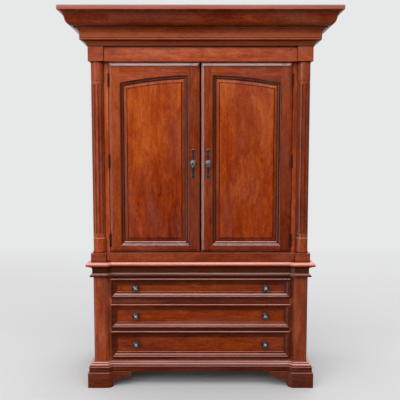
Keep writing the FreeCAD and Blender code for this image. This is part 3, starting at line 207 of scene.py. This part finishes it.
def grain_coordinates(tree, axis, offset, squeeze):
    """Coordinates squeezed along the grain; 'XY' follows the front faces along X and the sides along Y."""
    coordinates = tree.new("ShaderNodeTexCoord")

    def squeezed(grain):
        scale = [1.0, 1.0, 1.0]
        scale[AXES[grain]] = squeeze
        return tree.new("ShaderNodeMapping", {"Vector": coordinates.outputs["Object"], "Scale": scale,
                                              "Location": offset}).outputs[0]

    if len(axis) == 1:
        return squeezed(axis)
    normal = tree.new("ShaderNodeSeparateXYZ", {0: coordinates.outputs["Normal"]})
    side = tree.math("GREATER_THAN", tree.math("ABSOLUTE", normal.outputs[0]),
                     tree.math("ABSOLUTE", normal.outputs[1]))
    return tree.new("ShaderNodeMix", {0: side, 4: squeezed("X"), 5: squeezed("Y")},
                    data_type="VECTOR").outputs[1]


def wood(name, axis, stain, offset, tone=1.0, blotch=1.0, fine=1.0, glaze_and_shade=1.0, sheen_share=0.3, edge_wear_and_highlight=0.35,
         sheen_colour=PINK_SHEEN, tilt=0.15, gloss=0.25, specular=0.22, coat=0.5, darker=None, stain_and_light_bands=()):
    """Stained, glazed and lacquered wood with its grain along an axis, with painted shade and highlights.

    A higher tone makes the stain paler; blotch and fine are the shares of clouds and of fine grain.
    glaze_and_shade is the share of dark glazing and painted shade in hollows, and edge_wear_and_highlight
    that of paler stain on edges, from wear and as a painted highlight.
    sheen_share is the share of the painted sheen colour sheen_colour on faces that look up by more than
    tilt.
    Darker is (depth, width, share), a step of glazing and painted shade at a depth on faces that don't look
    up;
    each row of stain_and_light_bands is (axis, low, high, least, most), places between which the stain turns
    from least to most, darker below zero and paler above: mostly painted light and shade along the height.
    """
    dark, middle, light = (scaled(colour, tone) for colour in stain)
    material = bpy.data.materials.new(name)
    tree = Nodes(material)
    grain = grain_coordinates(tree, axis, offset, GRAIN_SQUEEZE)
    figure = grain_coordinates(tree, axis, offset, FIGURE_SQUEEZE)
    place = tree.place()

    # stain taken unevenly: broad clouds, ragged figure along the grain, streaks, fibres and flecks
    streaks = tree.noise(grain, *STREAKS)
    fibres = tree.noise(grain, *FIBRES)
    pattern = 0.5
    for part, share in ((tree.noise(figure, *CLOUDS), CLOUD_SHARE * blotch),
                        (tree.noise(figure, *RAGGED), RAGGED_SHARE * blotch),
                        (streaks, STREAK_SHARE * fine), (fibres, FIBRE_SHARE * fine),
                        (tree.noise(place, *FLECKS), FLECK_SHARE * blotch)):
        pattern = tree.math("ADD", pattern, tree.math("MULTIPLY", tree.math("SUBTRACT", part, 0.5), share))
    # painted light and shade in bands along an axis, such as paler towards the top
    for band_axis, *span in stain_and_light_bands:
        pattern = tree.math("ADD", pattern, tree.between(tree.along(place, band_axis), *span))
    ramp = tree.new("ShaderNodeValToRGB", {0: pattern})
    set_ramp(ramp.color_ramp, list(zip(STAIN_STOPS, (dark, middle, light))))
    colour = tree.mix(tree.between(fibres, *PORES), ramp.outputs[0], scaled(dark, PORE_DARKNESS))
    haze = tree.between(tree.noise(figure, *HAZINESS), *HAZE_COVER)
    colour = tree.mix(haze, colour, scaled(HAZE, tone))

    rounded = tree.rounded(*ROUNDING)
    facing = tree.new("ShaderNodeSeparateXYZ", {0: rounded}).outputs
    upward = facing[2]
    # painted shade with glaze: at a depth, faces that don't look up are darkened towards the glaze colour
    if darker:
        depth, width, share = darker
        deep = tree.math("MULTIPLY", tree.between(tree.along(place, "Y"), depth, depth + width, 0.0, share),
                         tree.between(upward, *UPRIGHT_FACES))
        colour = tree.mix(deep, colour, GLAZE_AND_SHADE)

    # dark glaze and painted shade in corners, grooves and gaps between parts, and edges made paler, from
    # wear and as painted highlight
    # painted shade: darker wherever occlusion finds corners, grooves and gaps
    shade = tree.math("MAXIMUM",
                      tree.between(tree.openness(*WIDE_REACH), *WIDE_HOLLOWS, WIDE_SHARE * glaze_and_shade, 0.0),
                      tree.between(tree.openness(*NARROW_REACH), *NARROW_HOLLOWS, glaze_and_shade, 0.0))
    patches = tree.between(tree.noise(place, *HOLLOW_PATCHES), *HOLLOW_COVER)
    shade = tree.math("MULTIPLY", shade, patches, clamp=True)
    colour = tree.mix(shade, colour, GLAZE_AND_SHADE)
    # edges paler from wear, with a painted highlight along them
    rubbed_and_highlit = tree.math("MULTIPLY", tree.between(tree.fullness(*EDGE_REACH), *EDGES, 0.0, edge_wear_and_highlight),
                       tree.between(tree.noise(place, *EDGE_PATCHES), *EDGE_COVER))
    bare_and_lit = tuple(STAIN_LEFT * part + RIM_SHARE * rim for part, rim in zip(light, RIM_AND_SHEEN))
    colour = tree.mix(rubbed_and_highlit, colour, bare_and_lit)

    # painted sheen: a pale colour on the upper sides of mouldings and on top edges, standing in for the
    # sky's reflection
    painted_sheen = tree.math("MULTIPLY", tree.between(upward, tilt, tilt + TILT_SPAN, 0.0, sheen_share),
                     tree.between(upward, *FLAT_TOPS))
    painted_sheen = tree.math("MULTIPLY", painted_sheen, tree.between(tree.noise(grain, *SHEEN_STREAKS), *SHEEN_COVER))
    colour = tree.mix(painted_sheen, colour, sheen_colour)

    rough = tree.between(streaks, *STREAK_SPREAD, gloss + GLOSSIER, gloss + DULLER)
    rough = tree.math("ADD", rough, tree.math("MULTIPLY", shade, GLAZE_ROUGHNESS))
    relief = tree.math("ADD", tree.math("MULTIPLY", fibres, FIBRE_RELIEF),
                       tree.math("MULTIPLY", streaks, STREAK_RELIEF))
    # hands and cloths polish the upper and left sides of mouldings; recesses stay matte
    polish = tree.math("SUBTRACT", 1.0, tree.math("MULTIPLY", shade, GLAZE_DULLING))
    lacquer = 0.0
    if coat:
        slanted = tree.between(tree.math("ABSOLUTE", facing[1]), *FRONT_FACING, coat, FRONT_COAT * coat)
        leftward = tree.math("MULTIPLY", tree.between(facing[0], *TURNED_LEFT),
                             tree.between(facing[0], *SIDE_FACES))
        rubbed_up = tree.math("MULTIPLY", slanted,
                              tree.math("MAXIMUM", tree.between(upward, *TURNED_UP), leftward))
        lacquer = tree.math("MULTIPLY", polish, rubbed_up)
    shader = tree.new("ShaderNodeBsdfPrincipled", {
        "Base Color": colour, "Roughness": rough, "Normal": tree.bump(*WOOD_BUMP, relief, rounded),
        "Coat Weight": lacquer, "Coat Roughness": COAT_ROUGHNESS,
        "Specular IOR Level": tree.math("MULTIPLY", polish, specular)})
    tree.new("ShaderNodeOutputMaterial", {0: shader.outputs[0]})
    return material


# ranges and shares of the irons
METAL_EDGES = (0.6, 0.3, 0.0, 0.6)
MOTTLE_COVER = (0.4, 0.8, 0.0, 0.2)
UPPER_HIGHLIGHT_TILT = (0.10, 0.5)
METAL_HOLLOWS = (0.45, 0.85, 1.0, 0.0)
MOTTLE_SPREAD = (0.3, 0.7)
HOLLOW_DARKNESS = 0.15
ROUGHNESS_SPREAD = 0.08
METALLIC = 0.85


def metal(name, dark, light, roughness, edge_width=0.0035, upper_highlight=0.5, crest=None):
    """Cast and blackened metal, paler within the distance edge_width of its edges, from wear and as a
    painted highlight, and, by the share upper_highlight, with a painted highlight on its upper sides. Crest
    is the pair of depths between which hands have polished it bright, with a painted highlight there too."""
    material = bpy.data.materials.new(name)
    tree = Nodes(material)
    place = tree.place()
    mottle = tree.noise(place, *MOTTLE)
    # edges paler from wear and as a painted highlight
    rubbed_and_highlit = tree.between(tree.fullness(edge_width, METAL_EDGE_SAMPLES), *METAL_EDGES)
    amount = tree.math("ADD", tree.between(mottle, *MOTTLE_COVER), rubbed_and_highlit, clamp=True)
    colour = tree.mix(amount, dark, light)
    rounded = tree.rounded(*METAL_ROUNDING)
    # painted highlight on the upper sides
    colour = tree.mix(tree.between(tree.along(rounded, "Z"), *UPPER_HIGHLIGHT_TILT, 0.0, upper_highlight), colour, light)
    # the knobs' crest: hand polish with a painted highlight
    if crest:
        colour = tree.mix(tree.between(tree.along(place, "Y"), *crest), colour, light)
    colour = tree.mix(tree.between(tree.openness(*NARROW_REACH), *METAL_HOLLOWS), colour,
                      scaled(dark, HOLLOW_DARKNESS))
    rough = tree.between(mottle, *MOTTLE_SPREAD, roughness + ROUGHNESS_SPREAD, roughness - ROUGHNESS_SPREAD)
    shader = tree.new("ShaderNodeBsdfPrincipled", {
        "Base Color": colour, "Roughness": rough, "Normal": tree.bump(*METAL_BUMP, mottle, rounded),
        "Metallic": METALLIC})
    tree.new("ShaderNodeOutputMaterial", {0: shader.outputs[0]})
    return material


# ---------------------------------------------------------------- materials of the nodes

# grain axis, and how pale each piece is: its stain together with painted light and shade, most left-hand
# pieces paler than their right-hand twins, the frieze, cornice top and door rails paler, the waist and base
# mouldings and the feet darker
WOODS = {
    "Z": {"chest_post_left": 1.15, "chest_post_right": 1.0, "chest_side_left": 1.0, "chest_side_right": 1.0,
          "cabinet_side_left": 1.0, "cabinet_side_right": 1.0, "cabinet_stile_left": 1.5,
          "cabinet_stile_right": 1.3, "column_left": 1.35, "column_right": 1.15, "left_door_stiles": 1.0,
          "right_door_stiles": 0.95},
    "X": {"base_moulding_center": 0.42, "waist_moulding_center": 0.30, "lower_divider": 0.45,
          "upper_divider": 0.6, "chest_bottom": 0.6, "chest_top_rail": 0.5, "chest_top": 1.0,
          "plinth_rail": 0.95, "frieze_rail": 1.45, "crown_front": 0.9, "cornice_top": 1.3,
          "left_door_rails": 1.25, "right_door_rails": 1.15},
    "XY": {"front_foot_left": 0.55, "front_foot_right": 0.5, "rear_feet": 0.6, "foot_brackets": 0.6,
           "base_moulding_left": 0.6, "base_moulding_right": 0.55, "waist_moulding_left": 0.34,
           "waist_moulding_right": 0.34, "plinth_blocks": 1.15, "frieze_blocks": 1.3, "crown_sides": 0.9},
}

# finishes where they aren't the usual: mouldings, rails and top edges are rubbed to a higher polish and
# carry more painted sheen than the flat boards, hollows hold more glaze and painted shade, and painted bands
# of light and shade run along some pieces
# crown: more glaze and painted shade in hollows, painted highlight on edges, paler low and darker towards
# the top, and painted shade lines under its foot and under its bead
CROWN = {"glaze_and_shade": 1.4, "sheen_share": 0.3, "edge_wear_and_highlight": 0.9, "specular": 0.08,
         "stain_and_light_bands": [("Z", 1.96, 2.03, 0.4, -0.2), ("Z", 1.912, 1.916, -1.0, 0.0),
                   ("Z", 1.930, 1.938, 0.0, -1.2), ("Z", 1.9385, 1.9395, 0.0, 1.2)]}
# base mouldings: painted sheen on faces that look up steeply, darker below 0.112 m
BASE = {"sheen_share": 0.95, "tilt": 0.55, "specular": 0.08, "stain_and_light_bands": [("Z", 0.112, 0.118, -0.2, 0.0)]}
# waist mouldings: more glaze and painted shade, and a strong coat
WAIST = {"glaze_and_shade": 1.5, "sheen_share": 0.3, "specular": 0.08, "coat": 1.0}
# columns: more glaze and painted shade in the flutes, and painted highlight on edges
COLUMN = {"glaze_and_shade": 1.6, "edge_wear_and_highlight": 0.9}
CABINET_STILE = {"glaze_and_shade": 0.6}
# door rails and stiles: a strong pale painted sheen on their upward bevels, with little glaze and painted
# shade
DOOR_RAILS = {"glaze_and_shade": 0.3, "sheen_share": 1.5, "sheen_colour": PALE_SHEEN, "tilt": 0.0, "specular": 0.08, "coat": 1.0}
DOOR_STILES = {**DOOR_RAILS, "sheen_share": 1.3, "coat": 0.8}
FINISHES = {
    "crown_front": CROWN, "crown_sides": CROWN, "column_left": COLUMN, "column_right": COLUMN,
    "cabinet_stile_left": CABINET_STILE, "cabinet_stile_right": CABINET_STILE,
    # painted sheen on the cornice top, reaching down onto its upright faces
    "cornice_top": {"sheen_share": 0.95, "sheen_colour": RIM_AND_SHEEN, "tilt": -0.3, "specular": 0.08, "coat": 0.8},
    # painted shade along the frieze's top edge under the crown
    "frieze_rail": {"stain_and_light_bands": [("Z", 1.900, 1.908, 0.0, -0.8)]},
    # painted sheen along the waist's top and nosing
    "chest_top": {"sheen_share": 0.9, "tilt": -0.1, "specular": 0.08, "coat": 1.0},
    "waist_moulding_center": {**WAIST, "sheen_share": 0.22},
    "waist_moulding_left": WAIST, "waist_moulding_right": WAIST,
    "base_moulding_center": {**BASE, "coat": 0.4},
    "base_moulding_left": {**BASE, "coat": 0.45}, "base_moulding_right": {**BASE, "coat": 0.45},
    # painted light on the doors: paler towards the top and darker towards the bottom; the left door's outer
    # stile paler and its lock stile darker, as if lit from the left
    "left_door_rails": {**DOOR_RAILS, "stain_and_light_bands": [("Z", 0.80, 1.80, -0.30, 0.08)]},
    "right_door_rails": {**DOOR_RAILS, "stain_and_light_bands": [("Z", 0.80, 1.80, -0.25, 0.02)]},
    "left_door_stiles": {**DOOR_STILES, "stain_and_light_bands": [("Z", 0.80, 1.80, -0.10, 0.06),
                                                  ("X", -0.45, -0.06, 0.10, -0.20)]},
    "right_door_stiles": {**DOOR_STILES, "stain_and_light_bands": [("Z", 0.80, 1.80, -0.20, 0.08),
                                                   ("X", 0.06, 0.45, -0.04, -0.04)]},
}

# finishes of the pieces that aren't in the list above
CASE_FINISH = {"blotch": 1.25, "specular": 0.12}
# door panels: glaze and painted shade on the bevel behind the field, and painted light, paler towards the
# top
DOOR_PANEL = {"tone": 0.96, "blotch": 1.1, "fine": 0.6, "sheen_share": 0.0, "specular": 0.10, "coat": 0.0,
              "darker": (-0.1815, 0.002, 0.3), "stain_and_light_bands": [("Z", 0.80, 1.80, -0.22, 0.2)]}
# door mouldings: dark, partly painted shade, with a painted sheen on their upper sides
DOOR_MOULDING = {"tone": 0.45, "sheen_share": 1.1, "tilt": 0.4, "sheen_colour": MOULDING_SHEEN, "specular": 0.08, "coat": 1.0}
# drawer fronts: glaze and painted shade on their proud frames, except where they look up
DRAWER_FRONT = {"sheen_share": 0.5, "tilt": 0.25, "specular": 0.06, "coat": 0.9, "darker": (-0.2000, -0.003, 0.6)}
DRAWER_TONES = {"top": 0.64, "middle": 0.76, "bottom": 0.66}
DRAWER_BOX = {"glaze_and_shade": 0.3, "sheen_share": 0.0, "gloss": 0.5, "coat": 0.0}
INNER_BOARD = {"blotch": 0.6, "glaze_and_shade": 0.5, "sheen_share": 0.1}
BACK = {"glaze_and_shade": 0.4, "sheen_share": 0.0, "gloss": 0.6, "coat": 0.0}

# step through the grain from one piece to the next, so that no two look alike
GRAIN_STEP = (0.37, 1.13, 0.71)


def dress(name, material):
    """Gives a node one material."""
    mesh = nodes[name].data
    mesh.materials.clear()
    mesh.materials.append(material)


def dress_wood(name, axis, stain, index, finish):
    """Gives a node its own wood, from the part of the grain with that index."""
    dress(name, wood(f"{name}_wood", axis, stain, scaled(GRAIN_STEP, index), **finish))


index = 0
for axis, tones in WOODS.items():
    for name, tone in tones.items():
        index += 1
        dress_wood(name, axis, CASE, index, {"tone": tone, **CASE_FINISH, **FINISHES.get(name, {})})
for side in ("left", "right"):
    index += 1
    dress_wood(f"{side}_door_panel", "Z", PANEL, index, DOOR_PANEL)
    dress_wood(f"{side}_door_moulding", "Z", CASE, index, DOOR_MOULDING)
for drawer, tone in DRAWER_TONES.items():
    index += 1
    dress_wood(f"{drawer}_drawer_front", "X", PANEL, index, {"tone": tone, **DRAWER_FRONT})
    dress_wood(f"{drawer}_drawer_box", "X", PLAIN, index, DRAWER_BOX)
for name in ("cabinet_bottom", "cabinet_top", "shelf"):
    index += 1
    dress_wood(name, "X", CASE, index, INNER_BOARD)
for name in ("chest_back", "cabinet_back"):
    dress_wood(name, "Z", PLY, index, BACK)

iron = metal("aged_iron", (0.008, 0.008, 0.009), (0.62, 0.62, 0.63), 0.20, edge_width=0.0010, upper_highlight=0.10,
             crest=(-0.2250, -0.2268))
steel = metal("hinge_steel", (0.018, 0.011, 0.007), (0.07, 0.05, 0.03), 0.5)
plate_iron = metal("plate_iron", (0.020, 0.020, 0.022), (0.55, 0.55, 0.55), 0.26, edge_width=0.0026, upper_highlight=0.75)
METALS = {
    "top_drawer_knobs": iron, "middle_drawer_knobs": iron, "bottom_drawer_knobs": iron,
    "left_door_pull": plate_iron, "right_door_pull": plate_iron, "frame_hinge_leaves": steel,
    "left_door_hinge_leaves": steel, "right_door_hinge_leaves": steel, "shelf_pins": steel,
}
for name, material in METALS.items():
    dress(name, material)


# ---------------------------------------------------------------- floor, light and camera

BACKDROP = (0.80, 0.805, 0.81)
FLOOR_REACH = 14.0
FLOOR_GREYS = ((0.46, 0.46, 0.465), (0.53, 0.53, 0.535))
FLOOR_UNSEEN = (0.12, 0.12, 0.12)
FLOOR_ROUGHNESS = 0.85
FLOOR_SPECULAR = 0.2
FLOOR_FADE = (0.8, 4.5)

# room around the armoire, and the ranges of direction over which one part turns into the next
ROOM_DIM = (0.07, 0.07, 0.073)
ROOM_PALE = (0.8, 0.8, 0.81)
ROOM_OVERHEAD = (1.4, 1.4, 1.42)
BACKWARD = (0.15, 0.7)
ABOVE_HORIZON = (0.10, 0.22)
OVERHEAD = (0.22, 0.75)

# softboxes: name, place, target, width, height and power
LAMPS = (
    ("key", (-0.6, -4.4, 3.0), (0.0, 0.0, 1.3), 4.4, 0.8, 46.0),
    ("overhead", (-0.2, -3.0, 4.6), (0.0, -0.2, 1.3), 5.0, 0.9, 80.0),
    ("left", (-2.2, -2.7, 1.5), (0.0, -0.2, 1.2), 0.8, 2.6, 34.0),
    ("back", (1.6, 3.6, 3.8), (0.0, 0.0, 1.2), 3.0, 2.0, 60.0),
)

# the photograph's camera
IMAGE_WIDTH = 400
FOCAL_PIXELS = 572.0
SENSOR_WIDTH = 36.0
CAMERA_PLACE = (-0.0033, -3.396, 1.348)
CAMERA_PITCH = 5.0


def make_floor():
    """Large pale floor under the armoire; far behind it the floor turns into the backdrop's colour."""
    mesh = bpy.data.meshes.new("floor")
    corners = [(x * FLOOR_REACH, y * FLOOR_REACH, 0) for x, y in ((-1, -1), (1, -1), (1, 1), (-1, 1))]
    mesh.from_pydata(corners, [], [(0, 1, 2, 3)])
    floor = bpy.data.objects.new("floor", mesh)
    bpy.context.scene.collection.objects.link(floor)
    material = bpy.data.materials.new("floor_pale")
    tree = Nodes(material)
    place = tree.place()
    path = tree.new("ShaderNodeLightPath").outputs
    seen = tree.math("ADD", path["Is Camera Ray"], path["Is Glossy Ray"])
    seen = tree.math("ADD", seen, path["Is Transmission Ray"], clamp=True)
    grey = tree.mix(tree.noise(place, *PAVING), *FLOOR_GREYS)
    grey = tree.mix(seen, FLOOR_UNSEEN, grey)
    shader = tree.new("ShaderNodeBsdfPrincipled", {"Base Color": grey, "Roughness": FLOOR_ROUGHNESS,
                                                   "Specular IOR Level": FLOOR_SPECULAR})
    far = tree.math("MULTIPLY", seen, tree.between(tree.along(place, "Y"), *FLOOR_FADE))
    glow = tree.new("ShaderNodeEmission", {"Color": rgba(BACKDROP), "Strength": 1.0})
    blend = tree.new("ShaderNodeMixShader", {0: far, 1: shader.outputs[0], 2: glow.outputs[0]})
    tree.new("ShaderNodeOutputMaterial", {0: blend.outputs[0]})
    mesh.materials.append(material)


def make_world():
    """Studio: pale backdrop behind the armoire, dim room in front of it, lighter overhead."""
    world = bpy.data.worlds.new("studio")
    bpy.context.scene.world = world
    tree = Nodes(world)
    direction = tree.new("ShaderNodeSeparateXYZ", {0: tree.new("ShaderNodeTexCoord").outputs["Generated"]})
    backward, upward = direction.outputs[1], direction.outputs[2]
    room = tree.mix(tree.between(upward, *ABOVE_HORIZON), ROOM_DIM, ROOM_PALE)
    room = tree.mix(tree.between(upward, *OVERHEAD), room, ROOM_OVERHEAD)
    colour = tree.mix(tree.between(backward, *BACKWARD), room, BACKDROP)
    background = tree.new("ShaderNodeBackground", {"Color": colour, "Strength": 1.0})
    tree.new("ShaderNodeOutputWorld", {0: background.outputs[0]})


def add_softbox(name, place, target, width, height, power):
    """Rectangular lamp at a place, turned to a target."""
    light = bpy.data.lights.new(name, "AREA")
    light.shape = "RECTANGLE"
    light.size = width
    light.size_y = height
    light.energy = power
    lamp = bpy.data.objects.new(name, light)
    lamp.location = place
    lamp.rotation_euler = (Vector(target) - Vector(place)).to_track_quat("-Z", "Y").to_euler()
    bpy.context.scene.collection.objects.link(lamp)


def make_camera():
    """Camera at the photograph's viewing angle, level from side to side and looking a little down."""
    data = bpy.data.cameras.new("camera")
    data.sensor_width = SENSOR_WIDTH
    data.lens = FOCAL_PIXELS / IMAGE_WIDTH * SENSOR_WIDTH
    camera = bpy.data.objects.new("camera", data)
    camera.location = CAMERA_PLACE
    camera.rotation_euler = (math.radians(90.0 - CAMERA_PITCH), 0.0, 0.0)
    bpy.context.scene.collection.objects.link(camera)
    bpy.context.scene.camera = camera


make_floor()
make_world()
for lamp in LAMPS:
    add_softbox(*lamp)
make_camera()
bpy.context.scene.view_settings.view_transform = "Standard"
